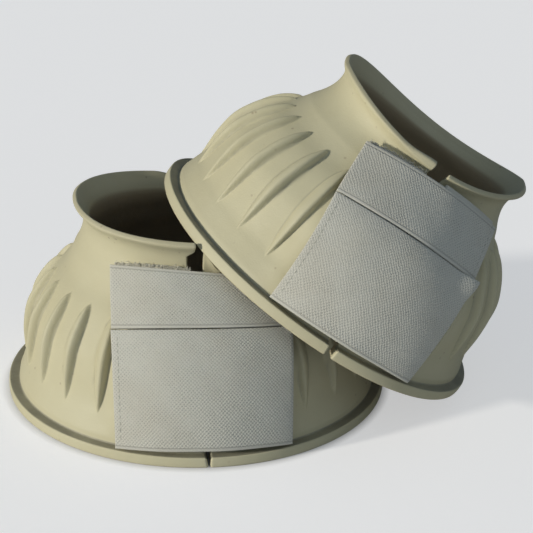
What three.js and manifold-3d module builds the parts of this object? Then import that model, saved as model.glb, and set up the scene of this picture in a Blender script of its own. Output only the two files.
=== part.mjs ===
// A pair of pull-on bell boots (overreach boots) for a horse, in moulded gum rubber.
// One boot stands upright on its hem. The other leans over its collar and right shoulder.
// Each boot is a split bell, closed across the split by two hook-and-loop straps:
// the upper strap peels from the wearer's left, the lower strap from the right.
// Units are millimetres, +Z is up, and the split of each boot faces -Y.

import * as THREE from 'three';
import { mergeVertices } from 'three/addons/utils/BufferGeometryUtils.js';
import Module from 'manifold-3d';

const wasm = await Module();
wasm.setup();

// ---- driving dimensions ----
const hemRadius = 89;
const hemHeight = 5;
const neckRadius = 52.2;
const lipRadius = 57;
const bootHeight = 93.8;
const shoulderStart = 52;       // the collar's own shape begins above this height
const lipStart = 70;

const ribPitches = 26;          // equal pitches round the bell
const firstRib = 2.5;           // first rib each side of the split, in pitches from it
const segmentsPerPitch = 4;
const ribBottom = 15;
const ribTop = 61;
const ribHeight = 3.6;
const ribFullness = 0.8;        // below 1 the rib swells sooner from its pointed ends
const ribLean = { from: 20, over: 45, most: 0.7 };   // ribs rise square to the sloping shoulder, in radians

// Middle of the wall, bottom to top, as [radius, height].
const wallMiddle = [[81, 9], [80, 20], [77.5, 35], [72, 47.3], [60.3, 62], [52.8, 74], [50.7, 83]];

const splitReach = 30;          // the split is cut from outside in to this distance from the axis
const cutMargin = 3;            // a cutter runs this far past what it cuts
const touchGap = 0.45;           // clearance between layers that touch

const tapeLength = 80;          // each strap, end to end round the bell
const tapeThickness = 1.3;
const hookThickness = 0.9;
const patchThickness = 1.8;
const foldGap = 0.3;            // half the gap between a strap's sewn end and its flap
const foldOffset = { upper: 2, lower: 10 };   // where each strap folds back, past the split
const patchInset = 6;           // patches stop short of the split
const threadWidth = 0.8;
const threadHeight = 0.5;
const seamInset = 3;            // each seam runs this far in from the sewn end's edge
const seamMargin = 0.06;        // share of the strap's width left clear above and below a seam
const hookMargin = 0.04;        // share of the strap's width left clear beside the hooks
const hookInset = 1.5;          // hooks start this far past the patch's edge, or past the fold
const hookEndInset = 5;
const patchEndInset = 1;

// Outer face of the closed straps: bottom, middle and top, as [radius, height].
const lowerStrapLine = [[90.6, 9.1], [86.9, 37.5], [75.5, 60.2]];
const upperStrapLine = [[74.6, 61.0], [66.8, 72.8], [58.6, 83.8]];
const strapDroop = { bottom: 0.001, top: 0.0036 };   // ends hang lower by this times length squared

// cornerTrim is the share of the lower strap's width taken off its free end's upper corner, which
// lets the strap open past the rim of the boot that leans over it.
const boots = [
  {
    name: 'upright',
    position: [0, 0, 0],
    tilt: 0,
    spin: 3.5,
    split: [1.0, 3.4],
    oval: { x: 0, y: 0, back: 0 },
    strapShift: -2,
    cornerTrim: 0.1,
    collar: {
      shift: [-0.8, -3.1], squeeze: [-0.013, -0.02], lean: -0.123, sink: 4.9,
      sag: [-3.1, 3.1], dent: [11, 5], dentFrom: -1, dentFull: 3, dentUntil: [16, 46],
    },
  },
  {
    name: 'leaning',
    position: [54.8, -0.9, 52.4],
    tilt: 34.1,
    spin: 0,
    split: [2.3, 4.2],
    oval: { x: -0.049, y: -0.026, back: -0.15 },
    strapShift: 2.5,
    cornerTrim: 0,
    collar: {
      shift: [2.2, 0.2], squeeze: [-0.056, -0.099], lean: 0.005, sink: 0,
      sag: [7.3, 8], dent: [0, 0], dentFrom: -1, dentFull: 3, dentUntil: [16, 46],
    },
  },
];

const colours = {
  rubber: { color: 0xc9c29c, roughness: 0.62, metalness: 0 },
  tape: { color: 0xc4c1b6, roughness: 0.85, metalness: 0 },
  pile: { color: 0xc9c4b4, roughness: 1, metalness: 0 },
  hooks: { color: 0xd2cfc4, roughness: 0.7, metalness: 0 },
  thread: { color: 0xd6d2c2, roughness: 0.8, metalness: 0 },
};

// ---- shape helpers ----
const smooth = (t) => {
  const s = Math.min(1, Math.max(0, t));
  return s * s * (3 - 2 * s);
};

function mesh(name, geometry, finish) {
  geometry.computeVertexNormals();
  const made = new THREE.Mesh(geometry, new THREE.MeshStandardMaterial(colours[finish]));
  made.name = name;
  return made;
}

function mapVertices(geometry, map) {
  const place = geometry.getAttribute('position');
  const point = new THREE.Vector3();
  for (let i = 0; i < place.count; i += 1) {
    point.fromBufferAttribute(place, i);
    map(point);
    place.setXYZ(i, point.x, point.y, point.z);
  }
  place.needsUpdate = true;
  return geometry;
}

function toSolid(geometry) {
  const bare = geometry.clone();
  bare.deleteAttribute('normal');
  bare.deleteAttribute('uv');
  const merged = mergeVertices(bare, 1e-4);
  return new wasm.Manifold(new wasm.Mesh({
    numProp: 3,
    vertProperties: new Float32Array(merged.getAttribute('position').array),
    triVerts: new Uint32Array(merged.getIndex().array),
  }));
}

function toGeometry(solid) {
  const cut = solid.getMesh();
  const geometry = new THREE.BufferGeometry();
  geometry.setAttribute('position', new THREE.BufferAttribute(cut.vertProperties, 3));
  geometry.setIndex(new THREE.BufferAttribute(cut.triVerts, 1));
  return geometry;
}

// A soft boot does not keep its moulded round shape: the bell is squeezed a little oval,
// and the collar above the shoulder shifts, leans and sinks. Straps and bell settle together.
function settle(boot) {
  const { oval, collar } = boot;
  return (p) => {
    const rise = smooth((p.z - shoulderStart) / (bootHeight - shoulderStart));
    p.z += rise * (collar.lean * p.x - collar.sink);
    p.x = p.x * (1 + collar.squeeze[0] * rise) + collar.shift[0] * rise;
    p.y = p.y * (1 + collar.squeeze[1] * rise) + collar.shift[1] * rise;
    const behind = Math.min(1, Math.max(0, p.y / hemRadius));
    p.x *= 1 + oval.x;
    p.y *= 1 + oval.y + oval.back * behind;
  };
}

// Only the collar's lip sags at the front and back, and it is dented where a second boot rests on it.
function sagLip(boot) {
  const { sag, dent, dentFrom, dentFull, dentUntil } = boot.collar;
  return (p) => {
    const facing = -p.y / Math.hypot(p.x, p.y);
    const side = facing > 0 ? 0 : 1;
    const fadeIn = smooth((p.x - dentFrom) / (dentFull - dentFrom));
    const fadeOut = smooth((p.x - dentUntil[0]) / (dentUntil[1] - dentUntil[0]));
    const pressed = dent[side] * fadeIn * (1 - fadeOut);
    const amount = sag[side] * facing ** 2 + pressed;
    p.z -= smooth((p.z - lipStart) / (bootHeight - lipStart)) * amount;
  };
}

// ---- the moulded bell ----
function bellProfile() {
  const outside = [
    [hemRadius, 0], [hemRadius, hemHeight], [83.9, hemHeight + 0.2], [81.5, 20], [79, 35.5],
    [74, 48], [61.7, 63], [54.6, 74], [neckRadius, 82.5], [lipRadius, 92], [lipRadius - 1, bootHeight],
  ];
  const inside = [
    [53.6, 92.3], [49.2, 84], [51, 74], [59, 61.2], [70.6, 46.5], [76, 34.5], [79.2, 9], [80.5, 0],
  ];
  const ring = [...outside, ...inside, outside[0]];
  return ring.map(([radius, height]) => new THREE.Vector2(radius, height));
}

function raiseRibs(p) {
  const radius = Math.hypot(p.x, p.y);
  const along = (p.z - ribBottom) / (ribTop - ribBottom);
  if (along <= 0 || along >= 1) return;
  const fromSplit = Math.atan2(p.x, -p.y) / (2 * Math.PI / ribPitches);
  const nearest = Math.floor(fromSplit) + 0.5;
  const onRib = Math.abs(fromSplit - nearest) < 0.5 / segmentsPerPitch && Math.abs(nearest) >= firstRib;
  if (!onRib || !isOutside(radius, p.z)) return;
  const proud = ribHeight * Math.sin(Math.PI * along) ** ribFullness;
  const slope = Math.min(1, Math.max(0, (p.z - ribLean.from) / ribLean.over)) * ribLean.most;
  p.x *= 1 + proud * Math.cos(slope) / radius;
  p.y *= 1 + proud * Math.cos(slope) / radius;
  p.z += proud * Math.sin(slope);
}

// A point is on the outside when it is beyond the middle of the wall at its height.
function isOutside(radius, z) {
  const above = wallMiddle.findIndex(([, height]) => z <= height);
  const next = above < 0 ? wallMiddle.length - 1 : Math.max(1, above);
  const [r0, z0] = wallMiddle[next - 1];
  const [r1, z1] = wallMiddle[next];
  return radius > r0 + (r1 - r0) * (z - z0) / (z1 - z0);
}

function splitCutter([bottom, top]) {
  const wedge = new THREE.Shape();
  wedge.moveTo(-bottom, -cutMargin);
  wedge.lineTo(bottom, -cutMargin);
  wedge.lineTo(top, bootHeight + cutMargin);
  wedge.lineTo(-top, bootHeight + cutMargin);
  wedge.closePath();
  const depth = hemRadius + cutMargin - splitReach;
  const cutter = new THREE.ExtrudeGeometry(wedge, { depth, bevelEnabled: false });
  cutter.rotateX(Math.PI / 2);
  cutter.translate(0, -splitReach, 0);
  return cutter;
}

function bell(boot) {
  const round = new THREE.LatheGeometry(bellProfile(), ribPitches * segmentsPerPitch);
  round.rotateX(Math.PI / 2);
  mapVertices(round, raiseRibs);
  const shell = toSolid(round).subtract(toSolid(splitCutter(boot.split)));
  const geometry = mapVertices(toGeometry(shell), sagLip(boot));
  return mesh(`${boot.name}_bell`, mapVertices(geometry, settle(boot)), 'rubber');
}

// ---- straps and patches ----
// A point on a strap: along is the length round the bell from the split, up runs from 0 at the
// strap's lower edge to 1 at its upper edge, and depth is measured inwards from its outer face.
function onStrap(line, along, up, depth) {
  const [a, b, c] = line;
  const at = (k) => a[k] * (1 - up) * (1 - 2 * up) + 4 * b[k] * up * (1 - up) + c[k] * up * (2 * up - 1);
  const rate = (k) => a[k] * (4 * up - 3) + b[k] * (4 - 8 * up) + c[k] * (4 * up - 1);
  const length = Math.hypot(rate(0), rate(1));
  const height = at(1) / bootHeight;
  const droop = along * along * (strapDroop.bottom + (strapDroop.top - strapDroop.bottom) * height);
  const radius = at(0) - depth * rate(1) / length - droop * rate(0) / length;
  const angle = along / at(0);
  return new THREE.Vector3(
    radius * Math.sin(angle),
    -radius * Math.cos(angle),
    at(1) + depth * rate(0) / length - droop * rate(1) / length,
  );
}

function tapePiece(boot, line, place) {
  const { from, to, low = 0, high = 1, depth, thickness, steps = 6, rows = 4, trim = 0 } = place;
  const block = new THREE.BoxGeometry(to - from, high - low, thickness, steps, rows, 1);
  block.translate((from + to) / 2, (low + high) / 2, 0);
  const placed = settle(boot);
  return mapVertices(block, (p) => {
    const up = p.x > to - (to - from) / steps / 2 ? p.y * (1 - trim) : p.y;
    p.copy(onStrap(line, p.x, up, depth + thickness / 2 - p.z));
    placed(p);
  });
}

// side is -1 where the flap peels from the left and +1 where it peels from the right.
function strap(boot, level, line, side) {
  const name = (piece) => `${boot.name}_${level}_${piece}`;
  const half = tapeLength / 2;
  const fold = foldOffset[level];
  const shift = boot.strapShift * side;
  const trim = level === 'lower' ? boot.cornerTrim : 0;
  const span = (a, b) => ({ from: Math.min(a * side, b * side), to: Math.max(a * side, b * side) });
  const hookDepth = tapeThickness + touchGap;
  const patchDepth = hookDepth + hookThickness + touchGap;
  const backingThickness = patchDepth + patchThickness - hookDepth;
  const flap = tapePiece(boot, line, {
    ...span(fold + foldGap, half + shift), depth: 0, thickness: tapeThickness, trim,
  });
  const sewnEnd = tapePiece(boot, line, {
    ...span(shift - half, fold - foldGap), depth: 0, thickness: tapeThickness,
  });
  const hooks = tapePiece(boot, line, {
    ...span(Math.max(patchInset, fold) + hookInset, half + shift - hookEndInset),
    low: hookMargin, high: 1 - hookMargin,
    depth: hookDepth, thickness: hookThickness,
  });
  const pile = tapePiece(boot, line, {
    ...span(patchInset, half + shift - patchEndInset), depth: patchDepth, thickness: patchThickness,
  });
  const backing = tapePiece(boot, line, {
    ...span(shift - half + patchEndInset, -patchInset), depth: hookDepth, thickness: backingThickness,
  });
  const seamPlace = shift - half + seamInset;
  const stitching = tapePiece(boot, line, {
    ...span(seamPlace, seamPlace + threadWidth), low: seamMargin, high: 1 - seamMargin,
    depth: -touchGap - threadHeight, thickness: threadHeight, steps: 1, rows: 6,
  });
  return [
    mesh(name('strap_flap'), flap, 'tape'),
    mesh(name('strap_sewn_end'), sewnEnd, 'tape'),
    mesh(name('hook_pad'), hooks, 'hooks'),
    mesh(name('loop_patch'), pile, 'pile'),
    mesh(name('strap_backing'), backing, 'tape'),
    mesh(name('stitching'), stitching, 'thread'),
  ];
}

function bootPair() {
  const pair = new THREE.Group();
  for (const boot of boots) {
    const whole = new THREE.Group();
    whole.add(bell(boot));
    whole.add(...strap(boot, 'upper', upperStrapLine, -1));
    whole.add(...strap(boot, 'lower', lowerStrapLine, 1));
    whole.rotation.set(0, boot.tilt * Math.PI / 180, boot.spin * Math.PI / 180, 'YXZ');
    whole.position.set(...boot.position);
    pair.add(whole);
  }
  return pair;
}

// The origin is the middle of the footprint, on the ground.
const group = new THREE.Group();
const pair = bootPair();
const box = new THREE.Box3().setFromObject(pair, true);
pair.position.set(-(box.min.x + box.max.x) / 2, -(box.min.y + box.max.y) / 2, -box.min.z);
group.add(pair);

export default group;
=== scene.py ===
"""A pair of open bell boots in moulded gum rubber, closed by woven hook-and-loop straps.

The tables and the shape code are in millimetres; settings and meshes are in metres.
"""

import math
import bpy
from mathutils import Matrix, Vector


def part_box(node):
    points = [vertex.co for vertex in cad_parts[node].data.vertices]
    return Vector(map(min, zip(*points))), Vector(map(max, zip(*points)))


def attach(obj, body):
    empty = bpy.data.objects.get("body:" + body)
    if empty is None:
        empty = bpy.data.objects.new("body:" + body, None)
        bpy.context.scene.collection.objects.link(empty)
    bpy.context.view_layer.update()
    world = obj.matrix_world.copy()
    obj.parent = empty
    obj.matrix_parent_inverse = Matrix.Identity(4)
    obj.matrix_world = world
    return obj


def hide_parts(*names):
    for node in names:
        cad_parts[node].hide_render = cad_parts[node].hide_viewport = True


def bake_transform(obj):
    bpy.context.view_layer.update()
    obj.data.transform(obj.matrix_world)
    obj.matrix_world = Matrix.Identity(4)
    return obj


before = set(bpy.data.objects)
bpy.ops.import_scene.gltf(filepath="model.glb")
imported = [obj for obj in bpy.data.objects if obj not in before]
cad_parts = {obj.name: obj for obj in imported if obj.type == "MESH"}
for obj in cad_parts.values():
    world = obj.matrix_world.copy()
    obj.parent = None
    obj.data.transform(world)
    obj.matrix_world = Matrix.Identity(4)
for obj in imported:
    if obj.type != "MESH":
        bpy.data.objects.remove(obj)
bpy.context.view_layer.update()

from types import SimpleNamespace

import bpy
import numpy as np
from bpy.props import FloatProperty, FloatVectorProperty, IntProperty, PointerProperty
from mathutils import Matrix, Vector
from mathutils.geometry import tessellate_polygon

bl_info = {
    "name": "Bell boots",
    "version": (1, 0, 0),
    "blender": (4, 5, 0),
    "location": "3D View > Sidebar > Bell boots",
    "description": "Builds a pair of rubber bell boots with hook-and-loop straps",
    "category": "Mesh",
}

MM = 0.001
UV_MM = 0.01            # a strap's UV map holds its flat millimetres times this

# The standing boot's centre on the ground, in metres: its hem reaches the back of its CAD solid.
HEM_REACH = 0.089
bell_low, bell_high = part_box("upright_bell")
PAIR_PLACE = np.array([(bell_low.x + bell_high.x) / 2, bell_high.y - HEM_REACH, 0.0])

# ---- how each boot sits ----
SHOULDER_START = 52.0   # the collar's own shape begins above this height
LIP_START = 70.0        # above this height the lip sags by itself

# The lip is pressed down under the other boot, across X: where that starts, over what width, at
# the front and at the back, and where and over what width it ends.
PRESS_FRONT = (-2.0, 9.5)
PRESS_BACK = (-18.0, 24.0)
PRESS_END = (16.0, 30.0)

# Each boot's place and turn; how oval it is across, in depth and at its back; how far its straps lie
# aside; and how its collar shifts, is squeezed, leans across X and sinks.
BOOTS = {
    "upright": {
        "position": (0.0, 0.0, 0.0), "tilt": 0.0, "spin": 3.5,
        "oval": (0.0, 0.0, 0.0), "strap_shift": -2.0,
        "shift": (-0.8, -3.1), "squeeze": (-0.013, -0.02), "lean": -0.123, "sink": 4.9,
        # At the front and at the back of the lip: how far it sags, waves and is pressed down.
        "sag": (-3.1, 3.1), "wave": (2.0, 0.0), "dent": (11.0, 5.0),
        "rib_turn": -1.5, "rib_top": 57.5, "lip_end": 0.0,
        # half the split's width on each side, as (height, width)
        "left_edge": [(0, 0.4), (7, 1.6), (50, 3.0), (70, 7.0), (86.5, 7.0), (89, 3.6), (94, 3.2)],
        "right_edge": [(0, 0.4), (7, 0.9), (50, 1.0), (70, -0.4), (94, 0.2)],
    },
    "leaning": {
        "position": (54.8, -0.9, 52.4), "tilt": 34.1, "spin": 0.0,
        "oval": (-0.049, -0.026, -0.15), "strap_shift": 2.5,
        "shift": (2.2, 0.2), "squeeze": (-0.056, -0.099), "lean": 0.005, "sink": 0.0,
        "sag": (7.3, 7.4), "wave": (0.0, 3.2), "dent": (0.0, 0.0),
        "rib_turn": 1.0, "rib_top": 63.5, "lip_end": 1.6,
        "left_edge": [(0, 1.6), (7, 2.3), (50, 3.2), (80, 4.0), (94, 4.2)],
        "right_edge": [(0, 1.6), (7, 2.3), (50, 3.2), (80, 4.0), (94, 4.2)],
    },
}

# ---- the bell ----
RIB_FOOT = 16.5         # height where the ribs start
RIB_CREST = 0.38        # a rib's crest sits this share of its half width towards the split
RIB_FREE_PITCHES = 2.0  # no ribs within this many pitches of the split
BELT_DEPTH = 2.8        # how deep the ribbed belt of the wall is sunk
UNEVENNESS = 0.18
SPLIT_REACH = 0.35      # the split's edges draw the wall apart up to this angle, in radians
LEDGE_INNER = 84.8      # radius where the hem's ledge meets the wall
LIP_END_REACH = 22.0    # the lip thickens over this length towards the split

# Outside of the wall above the hem, as (radius, height), up to the neck.
WALL = [(83.8, 9), (82.7, 15), (81.6, 20), (80.7, 30), (78.6, 40), (74.3, 48), (68.4, 56), (61.7, 63),
        (57.4, 69), (54.0, 75)]
# Inside of the wall, from the lip down to the ground.
INSIDE = [(53.1, 91.3), (50.7, 88), (49.2, 84), (49.4, 79), (51, 74), (54.8, 67.5), (59, 61.2),
          (65.2, 54), (70.6, 46.5), (74, 40.5), (76, 34.5), (77.9, 24), (79, 12), (79.6, 6), (80.4, 0.9)]

# ---- the straps ----
# Outer face of the closed straps: bottom, middle and top, as (radius, height).
STRAPS = {
    "lower": {"line": ((90.6, 9.1), (86.9, 37.5), (75.5, 60.2)), "side": 1, "fold": 10.0},
    "upper": {"line": ((74.6, 61.0), (66.8, 72.8), (58.6, 83.8)), "side": -1, "fold": 2.0},
}
STRAP_DROOP = (0.001, 0.0036)   # how a strap's ends droop, at the ground and at the lip
HOOK_GAP = 0.45         # between the strap, its hook tape and the loop patch
HOOK_SPACING = (1.5, 1.3)       # along and across the tape
HOOK_SPAN = (0.04, 0.96)        # share of the strap's width that the hook tape covers
HOOK_MARGIN = (1.2, 0.9)        # bare tape before the first and after the last hook
PATCH_INSET = 6.0       # the loop patch and the backing start this far from the split
LOOPS_PER_MM2 = 1.1
FRINGE_PER_MM = 9       # longer loops along the patch's upper edge
STITCH_PITCH = 3.0
STITCH_HALF = 1.15      # half a stitch's length
STITCH_SPAN = (0.07, 0.93)
SELVEDGE = 1.5          # plain edge of the woven tape
BLEND_REACH = 8.0       # a strap bends over this length past its fold

# How far a strap's top edge stands above its line, and the loop patch above the strap's line.
TOP_EDGE = {("upright", "lower"): 0.45, ("upright", "upper"): 0.45,
            ("leaning", "lower"): 0.45, ("leaning", "upper"): -2.2}
PILE_SHOWS = {("upright", "lower"): 0.3, ("upright", "upper"): 2.6,
              ("leaning", "lower"): 0.3, ("leaning", "upper"): 0.3}

# Where a strap stands off the boot: boot, level, centre along, centre across as a share, reach along,
# reach across as a share, height.
CURLS = [
    ("leaning", "lower", 42.5, 1.0, 13.0, 0.22, 3.2),
    ("upright", "upper", 22.0, 0.0, 26.0, 0.16, 1.0),
    ("leaning", "lower", -5.0, 0.0, 30.0, 0.10, 0.7),
]

# ---- the stage ----
FLOOR_HALF = 12.0
KEY_AROUND, KEY_UP = -64.0, 16.0        # where the key light comes from, in degrees
FILL_TURN = (60.0, 0.0, 8.0)
CAMERA_PLACE = (0.0, -0.7166, 0.3559)   # from the standing boot's centre
CAMERA_TURN, CAMERA_DOWN, CAMERA_ROLL = -2.597, 22.592, 1.077


# ---- settings ----
def size(name, description, millimetres, **limits):
    return FloatProperty(name=name, description=description, default=millimetres * MM, unit="LENGTH",
                         precision=4, **limits)


def colour(name, description, default):
    return FloatVectorProperty(name=name, description=description, default=default, subtype="COLOR",
                               min=0, max=1)


def strength(name, description, default):
    return FloatProperty(name=name, description=description, default=default, min=0)


class BootSizes(bpy.types.PropertyGroup):
    """Sizes of one boot."""

    hem_radius: size("Hem radius", "Radius of the hem bead", 89.0, min=0.06)
    hem_height: size("Hem height", "Height of the hem bead", 5.0, min=0.003)
    neck_radius: size("Neck radius", "Outside radius of the neck", 52.3)
    height: size("Height", "Height from the ground to the lip", 93.8)
    rib_pitches: IntProperty(name="Rib pitches", description="Equal pitches round the bell", default=26)
    rib_height: size("Rib height", "How far a rib stands proud", 4.0)
    rib_width: size("Rib width", "Width of a rib at its widest", 7.8)
    edge_round: size("Edge rounding", "Radius of the split's edges", 0.9)


class StrapSizes(bpy.types.PropertyGroup):
    """Sizes of the hook-and-loop straps."""

    length: size("Length", "Length of a strap", 80.0, min=0.02)
    thickness: size("Thickness", "Thickness of the woven tape", 1.3)
    hook_thickness: size("Hook tape", "Thickness of the hook tape", 0.9)
    patch_thickness: size("Patch", "Thickness of the loop patch", 1.8)
    weave_along: size("Weave along", "Pitch of the weave along the tape", 0.8)
    weave_across: size("Weave across", "Pitch of the weave across the tape", 0.85)


class BootColours(bpy.types.PropertyGroup):
    """Colours of the boots, linear."""

    rubber: colour("Rubber", "Clean gum rubber", (0.62, 0.585, 0.40))
    rubber_worn: colour("Worn rubber", "Handled, yellowed rubber", (0.55, 0.50, 0.31))
    # Real specks of dirt, and also the painted shade inside the bell and under the hem.
    soil: colour("Soil", "Dust and specks of dirt, and the shade painted inside the bell", (0.27, 0.19, 0.12))
    # Painted shade: the dark grey painted on the creases beside the ribs and on the hem's ledge.
    crease_shade: colour("Painted shade", "Shade painted in the creases and on the ledge", (0.155, 0.15, 0.13))
    tape: colour("Tape", "Face of the woven tape", (0.65, 0.64, 0.56))
    tape_pit: colour("Tape gaps", "Between the threads of the tape", (0.29, 0.285, 0.25))
    tape_stain: colour("Tape stain", "Faint stains on the tape", (0.46, 0.38, 0.25))
    pile: colour("Pile", "Loop pile", (0.80, 0.77, 0.64))
    hooks: colour("Hooks", "Moulded nylon hooks", (0.62, 0.61, 0.56))
    thread: colour("Thread", "Sewing thread", (0.52, 0.52, 0.43))


class StageLook(bpy.types.PropertyGroup):
    """The floor and the light."""

    floor: colour("Floor", "Colour of the floor", (0.62, 0.62, 0.62))
    floor_shade: colour("Floor shade", "Colour of the floor's soft clouds", (0.55, 0.55, 0.55))
    floor_glow: strength("Floor glow", "How much paler the floor looks than it is lit", 0.5)
    key_colour: colour("Key colour", "Colour of the key light", (1.0, 0.95, 0.86))
    key_power: strength("Key light", "Strength of the key light", 2.45)
    fill_colour: colour("Fill colour", "Colour of the soft light from the front", (0.82, 0.91, 1.0))
    fill_power: strength("Fill light", "Strength of the soft light from the front", 0.42)
    sky_colour: colour("Sky colour", "Colour of the light from all round", (0.60, 0.78, 1.0))
    sky_power: strength("Sky", "Strength of the light from all round", 0.14)
    lens: FloatProperty(name="Lens", description="Focal length on a 36 mm sensor", default=112.0,
                        unit="CAMERA")


def in_millimetres(settings):
    """A settings group with its lengths as millimetres and its counts as they are."""
    values = {}
    for key, kind in settings.bl_rna.properties.items():
        if kind.type in {"FLOAT", "INT"}:
            value = getattr(settings, key)
            values[key] = round(value / MM, 3) if kind.unit == "LENGTH" else value
    return SimpleNamespace(**values)


def boot_sizes():
    return in_millimetres(bpy.context.scene.boot_sizes)


def strap_sizes():
    return in_millimetres(bpy.context.scene.strap_sizes)


# ---- shape helpers ----
def smooth(t):
    s = np.clip(t, 0.0, 1.0)
    return s * s * (3 - 2 * s)


def spline(points, step):
    """A smooth line through the points, about step apart."""
    ends = [2 * np.array(points[0]) - np.array(points[1]), 2 * np.array(points[-1]) - np.array(points[-2])]
    p = [ends[0], *[np.array(q, float) for q in points], ends[1]]
    line = []
    for a, b, c, d in zip(p, p[1:], p[2:], p[3:]):
        count = max(1, round(float(np.linalg.norm(c - b)) / step))
        for t in np.arange(count) / count:
            line.append(0.5 * (2 * b + (c - a) * t + (2 * a - 5 * b + 4 * c - d) * t ** 2
                               + (3 * b - a - 3 * c + d) * t ** 3))
    return [tuple(q) for q in line] + [tuple(points[-1])]


def arc(centre, radius, start, end, count):
    angles = np.radians(np.linspace(start, end, count))
    return [(centre[0] + radius * math.cos(t), centre[1] + radius * math.sin(t)) for t in angles]


def settle(boot, p):
    """The soft bell is squeezed a little oval, and its collar shifts, leans and sinks."""
    x, y, z = p.T
    sizes = boot_sizes()
    rise = smooth((z - SHOULDER_START) / (sizes.height - SHOULDER_START))
    z = z + rise * (boot["lean"] * x - boot["sink"])
    x = x * (1 + boot["squeeze"][0] * rise) + boot["shift"][0] * rise
    y = y * (1 + boot["squeeze"][1] * rise) + boot["shift"][1] * rise
    across, depth, back = boot["oval"]
    behind = np.clip(y / sizes.hem_radius, 0, 1)
    return np.stack([x * (1 + across), y * (1 + depth + back * behind), z], 1)


def sag_lip(boot, p):
    """Only the lip sags and waves at the front and back, and it is pressed down under the other boot."""
    x, y, z = p.T
    facing, aside = -y / np.hypot(x, y), x / np.hypot(x, y)
    front = facing > 0
    sag = np.where(front, *boot["sag"]) * facing ** 2
    wave = 2 * facing * np.where(front, -boot["wave"][0] * np.abs(aside), boot["wave"][1] * aside)
    starts = (smooth((x - start) / width) for start, width in (PRESS_FRONT, PRESS_BACK))
    ends = smooth((x - PRESS_END[0]) / PRESS_END[1])
    pressed = np.where(front, *boot["dent"]) * np.where(front, *starts) * (1 - ends)
    lip = smooth((z - LIP_START) / (boot_sizes().height - LIP_START))
    return np.stack([x, y, z + lip * (wave - sag - pressed)], 1)


def stand(boot, p):
    """From the boot's own millimetres to metres in the row frame."""
    spin, tilt = math.radians(boot["spin"]), math.radians(boot["tilt"])
    x, y, z = p.T
    x, y = math.cos(spin) * x - math.sin(spin) * y, math.sin(spin) * x + math.cos(spin) * y
    x, z = math.cos(tilt) * x + math.sin(tilt) * z, -math.sin(tilt) * x + math.cos(tilt) * z
    return np.stack([x, y, z], 1) * MM + np.array(boot["position"]) * MM + PAIR_PLACE


def make_mesh(name, points, faces, material, uv=None):
    mesh = bpy.data.meshes.new(name)
    mesh.from_pydata([tuple(p) for p in points], [], faces)
    if uv is not None:
        layer = mesh.uv_layers.new(name="Flat")
        loops = np.zeros(len(mesh.loops), int)
        mesh.loops.foreach_get("vertex_index", loops)
        layer.data.foreach_set("uv", np.asarray(uv, float)[loops].ravel())
    mesh.polygons.foreach_set("use_smooth", [True] * len(mesh.polygons))
    if mesh.validate():
        raise RuntimeError(f"{name} is not a sound mesh")
    mesh.update()
    made = bpy.data.objects.new(name, mesh)
    mesh.materials.append(material)
    bpy.context.scene.collection.objects.link(made)
    return made


# ---- the moulded bell ----
def wall_outline(sizes):
    """The wall's closed outline, up the outside and down the inside, and how many points are outside."""
    hem, top, neck = sizes.hem_radius, sizes.hem_height, sizes.neck_radius
    outline = arc((hem - 0.9, 0.9), 0.9, -90, 0, 6)
    outline += [(hem + 0.1, top * 0.35), (hem + 0.1, top * 0.6)]
    outline += arc((hem - 0.6, top - 0.6), 0.6, 0, 90, 6)
    outline += [(hem - 1.2, top), (hem - 2.2, top), (hem - 3.2, top - 0.1), (hem - 4.0, top - 0.1)]
    outline += arc((LEDGE_INNER, top + 0.4), 0.5, -90, -168, 5)
    collar = [(neck, 80.5), (neck + 0.1, 85.5), (53.8, 88.7), (56.5, 91.5)]
    outline += spline([(LEDGE_INNER - 0.6, top + 0.8), *WALL, *collar], 0.85)
    outside = len(outline)
    outline += arc((56.0, 92.2), 0.8, -38, 51, 5)
    outline += arc((55.1, 92.9), 0.8, 51, 141, 5)
    outline += spline(INSIDE, 2.2)
    outline += [(81.2, 0.0), (83.5, 0.0), (86.0, 0.0)]
    return np.array(outline), outside


def rib_rise(sizes, angle, along, radius):
    """How far the ribs lift the wall, leaf-shaped, and a mask of the creases beside them for painted shade.
    """
    pitch = 2 * math.pi / sizes.rib_pitches
    place = angle / pitch
    nearest = np.floor(place) + 0.5
    leaf = np.clip(along, 0, 1) ** 0.85 * np.clip(1 - along, 0, 1) ** 0.6
    leaf = leaf / (0.586 ** 0.85 * 0.414 ** 0.6)
    half = 0.5 * sizes.rib_width * np.maximum(leaf, 1e-6) ** 0.9
    aside = (place - nearest) * pitch * radius / half
    ahead = np.where(np.mod(angle, 2 * math.pi) > math.pi, aside, -aside)
    behind_crest, before_crest = (RIB_CREST - ahead) / (1 + RIB_CREST), (ahead - RIB_CREST) / (1 - RIB_CREST)
    share = np.where(ahead < RIB_CREST, behind_crest, before_crest)
    swell = np.clip(1 - share ** 2, 0, 1) ** np.where(ahead < RIB_CREST, 1.0, 0.75)
    crease = np.exp(-((np.abs(aside) - 1.04) / 0.13) ** 2) * np.clip(leaf * 1.6, 0, 1)
    return sizes.rib_height * leaf ** 0.8 * swell * (leaf > 1e-3), crease


def from_split(turn):
    return np.minimum(turn, 2 * math.pi - turn)


def sunk_belt(turn, z):
    """The ribs rise from a belt of wall that is slightly sunk between the hem and the shoulder."""
    share = np.clip((z - 8) / 62, 0, 1)
    return BELT_DEPTH * np.sin(math.pi * share) ** 0.8 * smooth((from_split(turn) - 0.44) / 0.16)


def bell_columns(sizes):
    """Angles round the bell from the split's right edge, closer together on the ribs and at the split."""
    pitch = 2 * math.pi / sizes.rib_pitches
    within = np.concatenate([np.linspace(0, 0.22, 4)[:-1], np.linspace(0.22, 0.78, 26)[:-1],
                             np.linspace(0.78, 1, 4)[:-1]])
    angles = (np.arange(sizes.rib_pitches)[:, None] + within[None, :]).ravel() * pitch
    edge = np.array([0.0, 0.12, 0.35, 0.7, 1.0]) * sizes.edge_round / sizes.hem_radius
    return np.unique(np.concatenate([angles, edge, 2 * math.pi - edge]))


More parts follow.
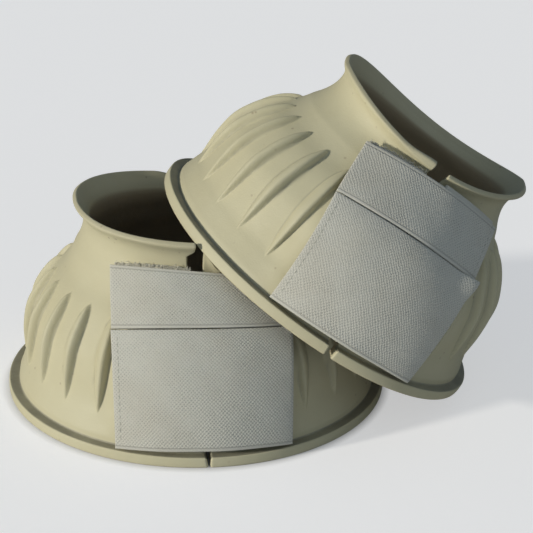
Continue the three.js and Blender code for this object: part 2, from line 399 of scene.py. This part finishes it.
def part_split(boot, angles, outline):
    """The angle of every point, once the two edges of the split stand apart."""
    near = smooth(1 - angles / SPLIT_REACH)[:, None]
    far = smooth(1 - (2 * math.pi - angles) / SPLIT_REACH)[:, None]
    right = np.interp(outline[:, 1], *zip(*boot["right_edge"])) / outline[:, 0]
    left = np.interp(outline[:, 1], *zip(*boot["left_edge"])) / outline[:, 0]
    return angles[:, None] + near * right - far * left


def outward(outline):
    step = np.roll(outline, -1, 0) - np.roll(outline, 1, 0)
    normal = np.stack([step[:, 1], -step[:, 0]], 1)
    return normal / np.linalg.norm(normal, axis=1)[:, None]


def area_of(outline, corners):
    a, b, c = (outline[i] for i in corners)
    return (b[0] - a[0]) * (c[1] - a[1]) - (b[1] - a[1]) * (c[0] - a[0])


def bell_faces(outline, columns):
    """Faces all round the bell, and the two flat faces of the split."""
    rows = len(outline)
    c, j = np.meshgrid(np.arange(columns - 1), np.arange(rows), indexing="ij")
    k = (j + 1) % rows
    quads = np.stack([c * rows + j, (c + 1) * rows + j, (c + 1) * rows + k, c * rows + k], -1)
    last = (columns - 1) * rows
    cut = tessellate_polygon([[Vector((a, b, 0)) for a, b in outline]])
    cut = [tri if area_of(outline, tri) > 0 else tri[::-1] for tri in cut]
    far_cut = [[last + i for i in reversed(tri)] for tri in cut]
    return quads.reshape(-1, 4).tolist() + [list(tri) for tri in cut] + far_cut


def paint(piece, key, values):
    piece.data.attributes.new(key, "FLOAT", "POINT").data.foreach_set("value", np.ravel(values))


def make_bell(name, boot, material):
    sizes = boot_sizes()
    outline, outside = wall_outline(sizes)
    is_outside = np.arange(len(outline)) < outside
    is_wall = is_outside & (outline[:, 1] > sizes.hem_height)
    travel = np.concatenate([[0], np.cumsum(np.linalg.norm(np.diff(outline, axis=0), axis=1))])
    foot, top = np.interp([RIB_FOOT, boot["rib_top"]], outline[is_wall][:, 1], travel[is_wall])
    along = np.where(is_wall, (travel - foot) / (top - foot), -1.0)

    angles = bell_columns(sizes)
    turn = part_split(boot, angles, outline)
    radius, level, along = (np.broadcast_to(v, turn.shape) for v in (outline[:, 0], outline[:, 1], along))
    lift, crease = rib_rise(sizes, turn - math.radians(boot["rib_turn"]), along, radius)
    ribbed = from_split(turn) > RIB_FREE_PITCHES * 2 * math.pi / sizes.rib_pitches
    uneven = UNEVENNESS * np.sin(3 * turn + 0.05 * level) * np.sin(0.07 * level + 5 * turn)
    lift = lift * ribbed + np.where(is_wall, uneven, 0)

    edge = sizes.edge_round
    gap = from_split(angles) * sizes.hem_radius
    rounded = np.where(gap < edge, edge - np.sqrt(np.maximum(edge ** 2 - (edge - gap) ** 2, 0)), 0)
    to_left_edge = (2 * math.pi - angles) * sizes.neck_radius
    inner_lip = smooth((outline[:, 1] - 84) / 7) * (np.arange(len(outline)) >= outside + 4)
    thicker = boot["lip_end"] * smooth(1 - to_left_edge / LIP_END_REACH)[:, None] * inner_lip

    offset = lift + thicker - rounded[:, None]
    normal = outward(outline)
    r = radius - sunk_belt(turn, level) + offset * normal[:, 0]
    z = level + offset * normal[:, 1]
    upright = np.stack([r * np.sin(turn), -r * np.cos(turn), z], -1).reshape(-1, 3)
    points = stand(boot, settle(boot, sag_lip(boot, upright)))
    bell = make_mesh(name, points, bell_faces(outline, len(angles)), material)

    r, z = outline.T
    # Painted shade: a mask for the hem's ledge and, at half strength, the creases at the ribs' bases.
    ledge = smooth((sizes.hem_radius - 0.2 - r) / 0.5) * smooth((sizes.hem_height + 0.7 - z) / 0.5)
    ledge = ledge * (z > sizes.hem_height - 1.5) * is_outside
    # Painted shade inside the bell: faint on the lip's inner flare, full below it, and 0.4 under the hem.
    within = np.where(is_outside, 0.0, 0.12 + 0.88 * smooth((86.5 - z) / 3.5))
    within = np.where(z < 0.5, 0.4, within)
    paint(bell, "Painted shade", np.maximum(ledge, 0.5 * crease * ribbed))
    paint(bell, "Painted inner shade", np.broadcast_to(within, turn.shape))
    return bell


# ---- straps, patches and thread, made flat and wrapped round the bell ----
def strap_line(level, up):
    """A strap's outer face and the way it rises, as (radius, height), at a share of its width."""
    low, middle, high = (np.array(p)[:, None] for p in STRAPS[level]["line"])
    at = low * (1 - up) * (1 - 2 * up) + 4 * middle * up * (1 - up) + high * up * (2 * up - 1)
    rate = low * (4 * up - 3) + middle * (4 - 8 * up) + high * (4 * up - 1)
    return at, rate / np.linalg.norm(rate, axis=0)


def strap_width(level):
    line = strap_line(level, np.linspace(0, 1, 41))[0]
    return float(np.linalg.norm(np.diff(line, axis=1), axis=0).sum())


def stand_off(which, level, along, up):
    """How far a strap curls away from the boot, with the slight ripple of worn tape."""
    rise = 0.12 * np.sin(along * 0.21 + up * 3) * np.sin(up * 5 + 1.3)
    for boot, at, centre, across, reach, reach_up, height in CURLS:
        if (boot, at) == (which, level):
            far = np.hypot((along - centre) / reach, (up - across) / reach_up)
            rise = rise + height * smooth(1 - far)
    return rise


def wrap(which, level, flat, rides_strap=False):
    """Flat points, as (along, across, out) from the strap's outer face, wrapped round the bell."""
    boot = BOOTS[which]
    along, across, out = np.asarray(flat, float).T
    up = across / strap_width(level)
    at, rate = strap_line(level, up)
    if rides_strap:
        out = out + stand_off(which, level, along, up)
    low, high = STRAP_DROOP
    droop = along ** 2 * (low + (high - low) * at[1] / boot_sizes().height)
    radius = at[0] + out * rate[1] - droop * rate[0]
    z = at[1] - out * rate[0] - droop * rate[1]
    turn = along / at[0]
    return stand(boot, settle(boot, np.stack([radius * np.sin(turn), -radius * np.cos(turn), z], 1)))


def stops(low, high, step, rounding):
    """Grid lines from low to high, closer at both rounded ends."""
    ease = np.array([0, 0.12, 0.45, 1.0]) * rounding
    count = max(2, round((high - low - 2 * rounding) / step))
    middle = np.linspace(low + rounding, high - rounding, count + 1)
    return np.concatenate([low + ease[:-1], middle, (high - ease[:-1])[::-1]])


def slab(alongs, acrosses, out, thickness, step=1.1):
    """A strip of cloth with rounded edges: flat points, faces and UV. out is its outer face."""
    rounding = thickness / 2
    a, b = stops(*alongs, step, rounding), stops(*acrosses, step, rounding)
    grid_a, grid_b = np.meshgrid(a, b, indexing="ij")
    edge = np.minimum(np.minimum(grid_a - a[0], a[-1] - grid_a), np.minimum(grid_b - b[0], b[-1] - grid_b))
    inset = rounding - np.sqrt(np.maximum(rounding ** 2 - np.maximum(rounding - edge, 0) ** 2, 0))
    front = np.stack([grid_a, grid_b, out - inset], -1).reshape(-1, 3)
    back = np.stack([grid_a, grid_b, out - thickness + inset], -1).reshape(-1, 3)
    columns, rows = grid_a.shape
    front_at = np.arange(columns * rows).reshape(columns, rows)
    inner = np.zeros((columns, rows), bool)
    inner[1:-1, 1:-1] = True
    back_at = front_at.copy()
    back_at[inner] = columns * rows + np.arange(inner.sum())
    points = np.concatenate([front, back[inner.ravel()]])
    faces = []
    for at, order in ((front_at, 1), (back_at, -1)):
        corners = [at[:-1, :-1], at[1:, :-1], at[1:, 1:], at[:-1, 1:]]
        faces += np.stack(corners[::order], -1).reshape(-1, 4).tolist()
    return points, faces, points[:, :2] * UV_MM


def bent_rod(path, radius, sides=3):
    """A thin rod along a path, closed at both ends: points and faces."""
    path = np.asarray(path, float)
    tangent = np.gradient(path, axis=0)
    tangent /= np.linalg.norm(tangent, axis=1)[:, None]
    aside = np.cross(tangent, [0.31, 0.95, 0.05])
    aside /= np.linalg.norm(aside, axis=1)[:, None]
    over = np.cross(tangent, aside)
    turns = np.arange(sides) * 2 * math.pi / sides
    radius = np.broadcast_to(radius, len(path))
    rings = [p + r * (math.cos(t) * s + math.sin(t) * o)
             for p, r, s, o in zip(path, radius, aside, over) for t in turns]
    faces = []
    for start in range(0, (len(path) - 1) * sides, sides):
        for i in range(sides):
            j = (i + 1) % sides
            faces.append([start + i, start + j, start + sides + j, start + sides + i])
    last = (len(path) - 1) * sides
    return np.array(rings), faces + [list(range(sides))[::-1], [last + i for i in range(sides)]]


def repeat(template, spots, turns, scales=None):
    """Copies of a small shape at flat spots, each turned about the outward direction."""
    points, faces = template
    cos, sin = np.cos(turns)[:, None], np.sin(turns)[:, None]
    size = np.ones(len(spots)) if scales is None else scales
    p = points[None] * size[:, None, None]
    x = p[..., 0] * cos - p[..., 1] * sin
    y = p[..., 0] * sin + p[..., 1] * cos
    placed = np.stack([x, y, p[..., 2]], -1) + np.asarray(spots)[:, None, :]
    all_faces = [[v + k * len(points) for v in face] for k in range(len(spots)) for face in faces]
    return placed.reshape(-1, 3), all_faces


def join(*parts):
    """Several flat shapes as one: points, faces and UV."""
    points, faces, start = [], [], 0
    for part in parts:
        points.append(part[0])
        faces += [[v + start for v in face] for face in part[1]]
        start += len(part[0])
    points = np.concatenate(points)
    return points, faces, points[:, :2] * UV_MM


def spans(which, level):
    """Where each layer of a strap starts and ends along the tape."""
    side, fold = STRAPS[level]["side"], STRAPS[level]["fold"]
    half = strap_sizes().length / 2
    shift = BOOTS[which]["strap_shift"] * side
    ends = {
        "strap": (shift - half, half + shift),
        "hooks": (max(PATCH_INSET, fold) + 1.5, half + shift - 5),
        "patch": (PATCH_INSET, half + shift - 1),
        "backing": (shift - half + 1, -PATCH_INSET),
        "seam": (shift - half + 3, shift - half + 3),
    }
    return {key: tuple(sorted((a * side, b * side))) for key, (a, b) in ends.items()}


def bend_over_fold(piece, which, level):
    """Bakes the strap's place into its mesh; the points at its fold and just past it are worked out but not
    used.
    """
    side, fold = STRAPS[level]["side"], STRAPS[level]["fold"]
    middle = strap_width(level) / 2
    ends = wrap(which, level, [(fold * side, middle, 0), ((fold + BLEND_REACH) * side, middle, 0)])
    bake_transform(piece)


def make_strap(which, level, material):
    thickness = strap_sizes().thickness
    across = (-0.3, strap_width(level) + TOP_EDGE[which, level])
    flat, faces, uv = slab(spans(which, level)["strap"], across, 0.0, thickness)
    piece = make_mesh(f"{which}_{level}_strap", wrap(which, level, flat, True), faces, material, uv)
    rim = flat[:, 1] - across[0]
    if level == "upper":
        rim = np.minimum(rim, across[1] - flat[:, 1])
    paint(piece, "Rim", rim)
    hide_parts(f"{which}_{level}_strap_flap", f"{which}_{level}_strap_sewn_end")
    bend_over_fold(piece, which, level)


def make_hook_pad(which, level, material):
    """A thin tape that carries rows of moulded hooks, which face the boot."""
    sizes = strap_sizes()
    ends = spans(which, level)["hooks"]
    low, high = (share * strap_width(level) for share in HOOK_SPAN)
    face = -sizes.thickness - HOOK_GAP + 0.35
    base = slab(ends, (low, high), face, sizes.hook_thickness, 1.6)
    bend = np.linspace(0, 1, 5)
    path = np.stack([0.16 * np.sin(bend * 3.0), 0 * bend, -0.42 * np.sin(bend * 2.2)], 1)
    hook = bent_rod(path, np.linspace(0.14, 0.07, 5))
    first, last = HOOK_MARGIN
    a = np.arange(ends[0] + first, ends[1] - last, HOOK_SPACING[0])
    b = np.arange(low + first, high - last, HOOK_SPACING[1])
    spots = np.array([(x, y, face - sizes.hook_thickness + 0.08) for x in a for y in b])
    turns = np.tile([0.0, math.pi], len(spots))[:len(spots)]
    flat, faces, uv = join(base, repeat(hook, spots, turns))
    piece = make_mesh(f"{which}_{level}_hook_tape", wrap(which, level, flat, True), faces, material, uv)
    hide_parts(f"{which}_{level}_hook_pad")
    bend_over_fold(piece, which, level)


def make_loop_patch(which, level, material):
    """Brushed pile: a soft base with small loops all over it, longer along its upper edge."""
    sizes = strap_sizes()
    ends, width = spans(which, level)["patch"], strap_width(level)
    face = -sizes.thickness - sizes.hook_thickness - 2 * HOOK_GAP - 0.1
    top = width + PILE_SHOWS[which, level]
    base = slab(ends, (0.0, top), face, sizes.patch_thickness - 0.2, 1.6)
    rng = np.random.default_rng(11)
    turn = np.linspace(0, math.pi, 5)
    loop = bent_rod(np.stack([0.45 * np.cos(turn), 0 * turn, 0.34 * np.sin(turn)], 1), 0.08)
    count = int(LOOPS_PER_MM2 * (ends[1] - ends[0]) * width)
    spots = np.stack([rng.uniform(ends[0] + 0.5, ends[1] - 0.5, count), rng.uniform(0.5, top - 0.5, count),
                      np.full(count, face - 0.06)], 1)
    field = repeat(loop, spots, rng.uniform(0, math.pi, count), rng.uniform(0.7, 1.1, count))
    count = int(FRINGE_PER_MM * (ends[1] - ends[0]))
    edge = np.stack([rng.uniform(ends[0], ends[1], count), rng.normal(top - 0.6, 0.55, count),
                     face - rng.uniform(-0.3, 0.9, count)], 1)
    fringe = repeat(loop, edge, rng.uniform(0, math.pi, count), rng.uniform(1.0, 2.1, count))
    flat, faces, uv = join(base, field, fringe)
    piece = make_mesh(f"{which}_{level}_pile", wrap(which, level, flat), faces, material, uv)
    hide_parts(f"{which}_{level}_loop_patch")
    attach(piece, f"{which}_boot")


def make_backing(which, level, material):
    """One tape under the strap's fixed end, as thick as the hook tape and the loop patch with the gap between
    them.
    """
    sizes = strap_sizes()
    thickness = sizes.hook_thickness + HOOK_GAP + sizes.patch_thickness
    flat, faces, uv = slab(spans(which, level)["backing"], (-0.9, strap_width(level) + 0.5),
                           -sizes.thickness - 0.1, thickness, 1.6)
    piece = make_mesh(f"{which}_{level}_backing_tape", wrap(which, level, flat), faces, material, uv)
    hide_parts(f"{which}_{level}_strap_backing")
    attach(piece, f"{which}_boot")


def make_stitching(which, level, material):
    """A row of short, half-sunk stitches along the strap's fixed end."""
    seam = spans(which, level)["seam"][0]
    low, high = (share * strap_width(level) for share in STITCH_SPAN)
    t = np.linspace(-1, 1, 7)
    path = np.stack([STITCH_HALF * t, 0 * t, 0.06 * (1 - t ** 2) - 0.1], 1)
    stitch = bent_rod(path, 0.18 * np.sqrt(np.maximum(1 - t ** 2, 0.06)), 6)
    spots = [(seam, y, 0.02) for y in np.arange(low + STITCH_PITCH / 2, high, STITCH_PITCH)]
    flat, faces, uv = join(repeat(stitch, spots, np.full(len(spots), math.pi / 2)))
    piece = make_mesh(f"{which}_{level}_stitches", wrap(which, level, flat, True), faces, material, uv)
    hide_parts(f"{which}_{level}_stitching")
    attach(piece, f"{which}_boot")


# ---- materials ----
def feed(tree, socket, value):
    if isinstance(value, bpy.types.NodeSocket):
        tree.links.new(value, socket)
    else:
        socket.default_value = value


def add(tree, kind, inputs=(), **values):
    """A node with its settings, and its inputs set or linked: {socket: value or output}."""
    made = tree.nodes.new(kind)
    for key, value in values.items():
        setattr(made, key, value)
    for socket, value in dict(inputs).items():
        feed(tree, made.inputs[socket], value)
    return made


def maths(tree, operation, a, b=0.0):
    return add(tree, "ShaderNodeMath", {0: a, 1: b}, operation=operation).outputs[0]


def ramp(tree, value, low, high, to_low=0.0, to_high=1.0):
    return add(tree, "ShaderNodeMapRange", {0: value, 1: low, 2: high, 3: to_low, 4: to_high}).outputs[0]


def noise(tree, vector, scale, detail=3.0, roughness=0.55):
    inputs = {"Vector": vector, "Scale": scale, "Detail": detail, "Roughness": roughness}
    return add(tree, "ShaderNodeTexNoise", inputs).outputs["Fac"]


def blend_colour(tree, share, a, b):
    made = add(tree, "ShaderNodeMix", data_type="RGBA")
    feed(tree, made.inputs[0], share)
    for socket, value in ((6, a), (7, b)):
        feed(tree, made.inputs[socket], value if isinstance(value, bpy.types.NodeSocket) else (*value, 1.0))
    return made.outputs[2]


def new_group(name, inputs, outputs):
    group = bpy.data.node_groups.new(name, "ShaderNodeTree")
    for title, kind, default in inputs:
        socket = group.interface.new_socket(title, in_out="INPUT", socket_type=kind)
        if default is not None:
            socket.default_value = default
    for title, kind in outputs:
        group.interface.new_socket(title, in_out="OUTPUT", socket_type=kind)
    return group, group.nodes.new("NodeGroupInput").outputs, group.nodes.new("NodeGroupOutput").inputs


def soiling_group():
    """Soft stains, rare specks and a fine grain, all over a surface."""
    group, given, out = new_group(
        "Soiling",
        [("Vector", "NodeSocketVector", None), ("Stain scale", "NodeSocketFloat", 14.0),
         ("Speck scale", "NodeSocketFloat", 160.0), ("Grain scale", "NodeSocketFloat", 1400.0)],
        [("Stain", "NodeSocketFloat"), ("Speck", "NodeSocketFloat"), ("Grain", "NodeSocketFloat")])
    stain = ramp(group, noise(group, given["Vector"], given["Stain scale"], 4.0, 0.6), 0.38, 0.68)
    dots = add(group, "ShaderNodeTexVoronoi", {"Vector": given["Vector"], "Scale": given["Speck scale"]})
    rare = ramp(group, noise(group, given["Vector"], maths(group, "MULTIPLY", given["Speck scale"], 0.31)),
                0.54, 0.62)
    speck = maths(group, "MULTIPLY", ramp(group, dots.outputs["Distance"], 0.06, 0.15, 1.0, 0.0), rare)
    group.links.new(stain, out["Stain"])
    group.links.new(speck, out["Speck"])
    group.links.new(noise(group, given["Vector"], given["Grain scale"], 2.0), out["Grain"])
    return group


def weave_group():
    """An offset grid of threads: a height and a mask of the gaps between them, from flat millimetres."""
    group, given, out = new_group(
        "Tape weave",
        [("Flat", "NodeSocketVector", None), ("Along", "NodeSocketFloat", 1.2),
         ("Across", "NodeSocketFloat", 1.0)],
        [("Height", "NodeSocketFloat"), ("Gap", "NodeSocketFloat"), ("Fade", "NodeSocketFloat")])
    flat = add(group, "ShaderNodeVectorMath", {0: given["Flat"], 1: (1 / UV_MM, 1 / UV_MM, 0)},
               operation="MULTIPLY").outputs[0]
    wander = noise(group, flat, 0.35, 2.0)
    parts = add(group, "ShaderNodeSeparateXYZ", {0: flat}).outputs
    waves = []
    for axis, pitch, shift in (("X", "Along", 1.6), ("Y", "Across", 1.1)):
        place = maths(group, "DIVIDE", parts[axis], given[pitch])
        moved = maths(group, "ADD", place, maths(group, "MULTIPLY", wander, shift))
        waves.append(maths(group, "SINE", maths(group, "MULTIPLY", moved, math.pi)))
    cross = maths(group, "MULTIPLY", *waves)
    fuzz = maths(group, "MULTIPLY", noise(group, flat, 2.6, 2.0), 0.5)
    height = maths(group, "ADD", maths(group, "MULTIPLY", cross, 0.5), fuzz)
    group.links.new(height, out["Height"])
    group.links.new(ramp(group, height, 0.12, -0.22), out["Gap"])
    group.links.new(noise(group, flat, 0.11, 3.0), out["Fade"])
    return group


def use_group(tree, group, **inputs):
    made = add(tree, "ShaderNodeGroup", node_tree=group)
    for socket, value in inputs.items():
        feed(tree, made.inputs[socket.replace("_", " ")], value)
    return made.outputs


def new_material(name, coordinates):
    material = bpy.data.materials.new(name)
    material.use_nodes = True
    tree = material.node_tree
    return material, tree, tree.nodes["Principled BSDF"], add(tree, "ShaderNodeTexCoord").outputs[coordinates]


def painted(tree, key):
    return add(tree, "ShaderNodeAttribute", attribute_name=key).outputs["Fac"]


def rubber_material(colours, soiling):
    material, tree, shader, place = new_material("Gum rubber", "Object")
    soil = use_group(tree, soiling, Vector=place, Stain_scale=17.0, Speck_scale=190.0, Grain_scale=1500.0)
    blotch = noise(tree, place, 55.0, 4.0)
    stained = maths(tree, "MULTIPLY", soil["Stain"], 0.45)
    base = blend_colour(tree, stained, colours.rubber, colours.rubber_worn)
    base = blend_colour(tree, ramp(tree, blotch, 0.35, 0.75, 0.0, 0.18), base, colours.rubber_worn)
    base = blend_colour(tree, maths(tree, "MULTIPLY", soil["Speck"], 0.55), base, colours.soil)
    # Painted shade: the ledge and the rib creases darken to dark grey, unevenly by the blotches.
    painted_shade_share = maths(tree, "MULTIPLY", painted(tree, "Painted shade"), ramp(tree, blotch, 0.2, 0.6, 0.55, 1.0))
    base = blend_colour(tree, maths(tree, "MULTIPLY", painted_shade_share, 0.68), base, colours.crease_shade)
    # Painted shade inside the bell and under the hem, in the soil colour.
    base = blend_colour(tree, maths(tree, "MULTIPLY", painted(tree, "Painted inner shade"), 0.7), base, colours.soil)
    tree.links.new(base, shader.inputs["Base Color"])
    tree.links.new(ramp(tree, blotch, 0.3, 0.7, 0.5, 0.68), shader.inputs["Roughness"])
    height = maths(tree, "ADD", soil["Grain"], maths(tree, "MULTIPLY", noise(tree, place, 380.0), 1.4))
    bump = add(tree, "ShaderNodeBump", {"Strength": 0.22, "Distance": 0.0003, "Height": height})
    tree.links.new(bump.outputs[0], shader.inputs["Normal"])
    shader.inputs["Specular IOR Level"].default_value = 0.35
    return material


def tape_material(colours, sizes, weave, soiling):
    material, tree, shader, flat = new_material("Woven tape", "UV")
    face, gap = colours.tape, colours.tape_pit
    cloth = use_group(tree, weave, Flat=flat, Along=sizes.weave_along, Across=sizes.weave_across)
    soil = use_group(tree, soiling, Vector=flat, Stain_scale=3.0, Speck_scale=14.0, Grain_scale=160.0)
    shown = ramp(tree, cloth["Fade"], 0.3, 0.7, 0.2, 0.85)
    base = blend_colour(tree, maths(tree, "MULTIPLY", cloth["Gap"], shown), face, gap)
    rim = painted(tree, "Rim")
    plain = ramp(tree, rim, SELVEDGE - 0.25, SELVEDGE - 0.1, 1.0, 0.0)
    base = blend_colour(tree, maths(tree, "MULTIPLY", plain, 0.8), base, face)
    from_seam = maths(tree, "ABSOLUTE", maths(tree, "SUBTRACT", rim, SELVEDGE))
    seam = maths(tree, "SUBTRACT", 1.0, ramp(tree, from_seam, 0.12, 0.4))
    base = blend_colour(tree, maths(tree, "MULTIPLY", seam, 0.45), base, gap)
    base = blend_colour(tree, ramp(tree, soil["Stain"], 0.2, 1.0, 0.0, 0.16), base, colours.tape_stain)
    tree.links.new(base, shader.inputs["Base Color"])
    tree.links.new(ramp(tree, cloth["Fade"], 0.3, 0.7, 0.78, 0.92), shader.inputs["Roughness"])
    not_plain = maths(tree, "SUBTRACT", 1.0, maths(tree, "MULTIPLY", plain, 0.7))
    woven = maths(tree, "SUBTRACT", maths(tree, "MULTIPLY", cloth["Height"], not_plain), seam)
    height = maths(tree, "ADD", woven, maths(tree, "MULTIPLY", soil["Grain"], 0.25))
    bump = add(tree, "ShaderNodeBump", {"Strength": 0.55, "Distance": 0.0004, "Height": height})
    tree.links.new(bump.outputs[0], shader.inputs["Normal"])
    shader.inputs["Sheen Weight"].default_value = 0.15
    shader.inputs["Specular IOR Level"].default_value = 0.25
    return material


def fibre_material(name, tint, dark, scale, roughness):
    """Pile, hooks and thread: a colour broken up at the size of their fibres."""
    material, tree, shader, flat = new_material(name, "UV")
    fibres = noise(tree, flat, scale, 4.0, 0.7)
    base = blend_colour(tree, ramp(tree, fibres, 0.35, 0.68), dark, tint)
    tree.links.new(base, shader.inputs["Base Color"])
    tree.links.new(ramp(tree, fibres, 0.3, 0.7, roughness, roughness + 0.1), shader.inputs["Roughness"])
    bump = add(tree, "ShaderNodeBump", {"Strength": 0.6, "Distance": 0.0003, "Height": fibres})
    tree.links.new(bump.outputs[0], shader.inputs["Normal"])
    shader.inputs["Sheen Weight"].default_value = 0.2
    return material


def boot_materials():
    """The five finishes of the boots, made once."""
    if "Gum rubber" not in bpy.data.materials:
        colours = bpy.context.scene.boot_colours
        soiling = soiling_group()
        rubber_material(colours, soiling)
        tape_material(colours, strap_sizes(), weave_group(), soiling)
        fibre_material("Loop pile", colours.pile, [v * 0.7 for v in colours.pile], 120.0, 0.88)
        fibre_material("Nylon hooks", colours.hooks, [v * 0.75 for v in colours.hooks], 60.0, 0.5)
        fibre_material("Sewing thread", colours.thread, [v * 0.7 for v in colours.thread], 90.0, 0.7)
    return bpy.data.materials


# ---- operators ----
class MakeBells(bpy.types.Operator):
    """Makes both moulded rubber bells"""

    bl_idname = "bell_boots.make_bells"
    bl_label = "Bells"

    def execute(self, context):
        rubber = boot_materials()["Gum rubber"]
        for which, boot in BOOTS.items():
            piece = make_bell(f"{which}_moulded_bell", boot, rubber)
            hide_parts(f"{which}_bell")
            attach(piece, f"{which}_boot")
        return {"FINISHED"}


class MakeStraps(bpy.types.Operator):
    """Makes the four woven straps"""

    bl_idname = "bell_boots.make_straps"
    bl_label = "Straps"

    def execute(self, context):
        for which in BOOTS:
            for level in STRAPS:
                make_strap(which, level, boot_materials()["Woven tape"])
        return {"FINISHED"}


class MakeFastenings(bpy.types.Operator):
    """Makes the hook tapes and the loop patches that the straps close on"""

    bl_idname = "bell_boots.make_fastenings"
    bl_label = "Hooks and pile"

    def execute(self, context):
        for which in BOOTS:
            for level in STRAPS:
                make_hook_pad(which, level, boot_materials()["Nylon hooks"])
                make_loop_patch(which, level, boot_materials()["Loop pile"])
        return {"FINISHED"}


class MakeSewnEnds(bpy.types.Operator):
    """Makes the backing tapes and the stitching of the straps' fixed ends"""

    bl_idname = "bell_boots.make_sewn_ends"
    bl_label = "Sewn ends"

    def execute(self, context):
        for which in BOOTS:
            for level in STRAPS:
                make_backing(which, level, boot_materials()["Woven tape"])
                make_stitching(which, level, boot_materials()["Sewing thread"])
        return {"FINISHED"}


def floor_material(look):
    """A pale floor that looks lighter than it is lit, except inside the standing boot."""
    material, tree, shader, place = new_material("Studio floor", "Object")
    clouds = ramp(tree, noise(tree, place, 3.0), 0.3, 0.7, 0.0, 0.03)
    base = blend_colour(tree, clouds, look.floor, look.floor_shade)
    tree.links.new(base, shader.inputs["Base Color"])
    shader.inputs["Roughness"].default_value = 0.9
    seen = add(tree, "ShaderNodeLightPath").outputs["Is Camera Ray"]
    from_boot = add(tree, "ShaderNodeVectorMath", {0: place, 1: PAIR_PLACE}, operation="DISTANCE")
    hem = bpy.context.scene.boot_sizes.hem_radius
    around = ramp(tree, from_boot.outputs["Value"], hem - 3 * MM, hem + 4 * MM)
    glow = maths(tree, "MULTIPLY", maths(tree, "MULTIPLY", seen, around), look.floor_glow)
    shader.inputs["Emission Color"].default_value = (1.0, 1.0, 1.0, 1.0)
    tree.links.new(glow, shader.inputs["Emission Strength"])
    return material


def sun(name, colour_of_light, power, spread, turn):
    light = bpy.data.lights.new(name, "SUN")
    light.energy = power
    light.color = colour_of_light
    light.angle = math.radians(spread)
    lamp = bpy.data.objects.new(name, light)
    lamp.rotation_euler = turn
    bpy.context.scene.collection.objects.link(lamp)


class MakeStage(bpy.types.Operator):
    """Makes the floor, the light and the camera"""

    bl_idname = "bell_boots.make_stage"
    bl_label = "Stage"

    def execute(self, context):
        scene = context.scene
        look = scene.stage_look
        half = FLOOR_HALF
        corners = [(-half, -half, 0), (half, -half, 0), (half, half, 0), (-half, half, 0)]
        make_mesh("studio_floor", corners, [[0, 1, 2, 3]], floor_material(look))

        scene.view_settings.view_transform = "Standard"
        world = bpy.data.worlds.new("Soft sky")
        world.use_nodes = True
        sky = world.node_tree.nodes["Background"]
        sky.inputs["Color"].default_value = (*look.sky_colour, 1)
        sky.inputs["Strength"].default_value = look.sky_power
        scene.world = world

        around, up = math.radians(KEY_AROUND), math.radians(KEY_UP)
        key_from = Vector((math.sin(around) * math.cos(up), -math.cos(around) * math.cos(up), math.sin(up)))
        sun("key_light", look.key_colour, look.key_power, 5, key_from.to_track_quat("Z", "Y").to_euler())
        sun("fill_light", look.fill_colour, look.fill_power, 70, [math.radians(a) for a in FILL_TURN])

        camera = bpy.data.cameras.new("camera")
        camera.lens = look.lens
        camera.sensor_width = 36.0
        camera.clip_start, camera.clip_end = 0.01, 50.0
        eye = bpy.data.objects.new("camera", camera)
        eye.location = Vector(PAIR_PLACE) + Vector(CAMERA_PLACE)
        turned, down, roll = (math.radians(a) for a in (CAMERA_TURN, CAMERA_DOWN, CAMERA_ROLL))
        aim = (Matrix.Rotation(turned, 4, "Z") @ Matrix.Rotation(math.pi / 2 - down, 4, "X")
               @ Matrix.Rotation(roll, 4, "Z"))
        eye.rotation_euler = aim.to_euler()
        scene.collection.objects.link(eye)
        scene.camera = eye
        return {"FINISHED"}


class BellBootsPanel(bpy.types.Panel):
    """Lists the settings and the operators in the sidebar"""

    bl_idname = "VIEW3D_PT_bell_boots"
    bl_label = "Bell boots"
    bl_space_type = "VIEW_3D"
    bl_region_type = "UI"
    bl_category = "Bell boots"

    def draw(self, context):
        for settings in ("boot_sizes", "strap_sizes", "boot_colours", "stage_look"):
            box = self.layout.box()
            group = getattr(context.scene, settings)
            for key in group.bl_rna.properties.keys():
                if key not in {"rna_type", "name"}:
                    box.prop(group, key)
        for operator in OPERATORS:
            self.layout.operator(operator.bl_idname)


SETTINGS = {"boot_sizes": BootSizes, "strap_sizes": StrapSizes, "boot_colours": BootColours,
            "stage_look": StageLook}
OPERATORS = (MakeStage, MakeBells, MakeStraps, MakeFastenings, MakeSewnEnds)


def register():
    for made in (*SETTINGS.values(), *OPERATORS, BellBootsPanel):
        bpy.utils.register_class(made)
    for key, group in SETTINGS.items():
        setattr(bpy.types.Scene, key, PointerProperty(type=group))


def unregister():
    for key in SETTINGS:
        delattr(bpy.types.Scene, key)
    for made in (BellBootsPanel, *reversed(OPERATORS), *reversed(SETTINGS.values())):
        bpy.utils.unregister_class(made)


def main():
    register()
    bpy.ops.bell_boots.make_stage()
    bpy.ops.bell_boots.make_bells()
    bpy.ops.bell_boots.make_straps()
    bpy.ops.bell_boots.make_fastenings()
    bpy.ops.bell_boots.make_sewn_ends()


if __name__ == "__main__":
    main()
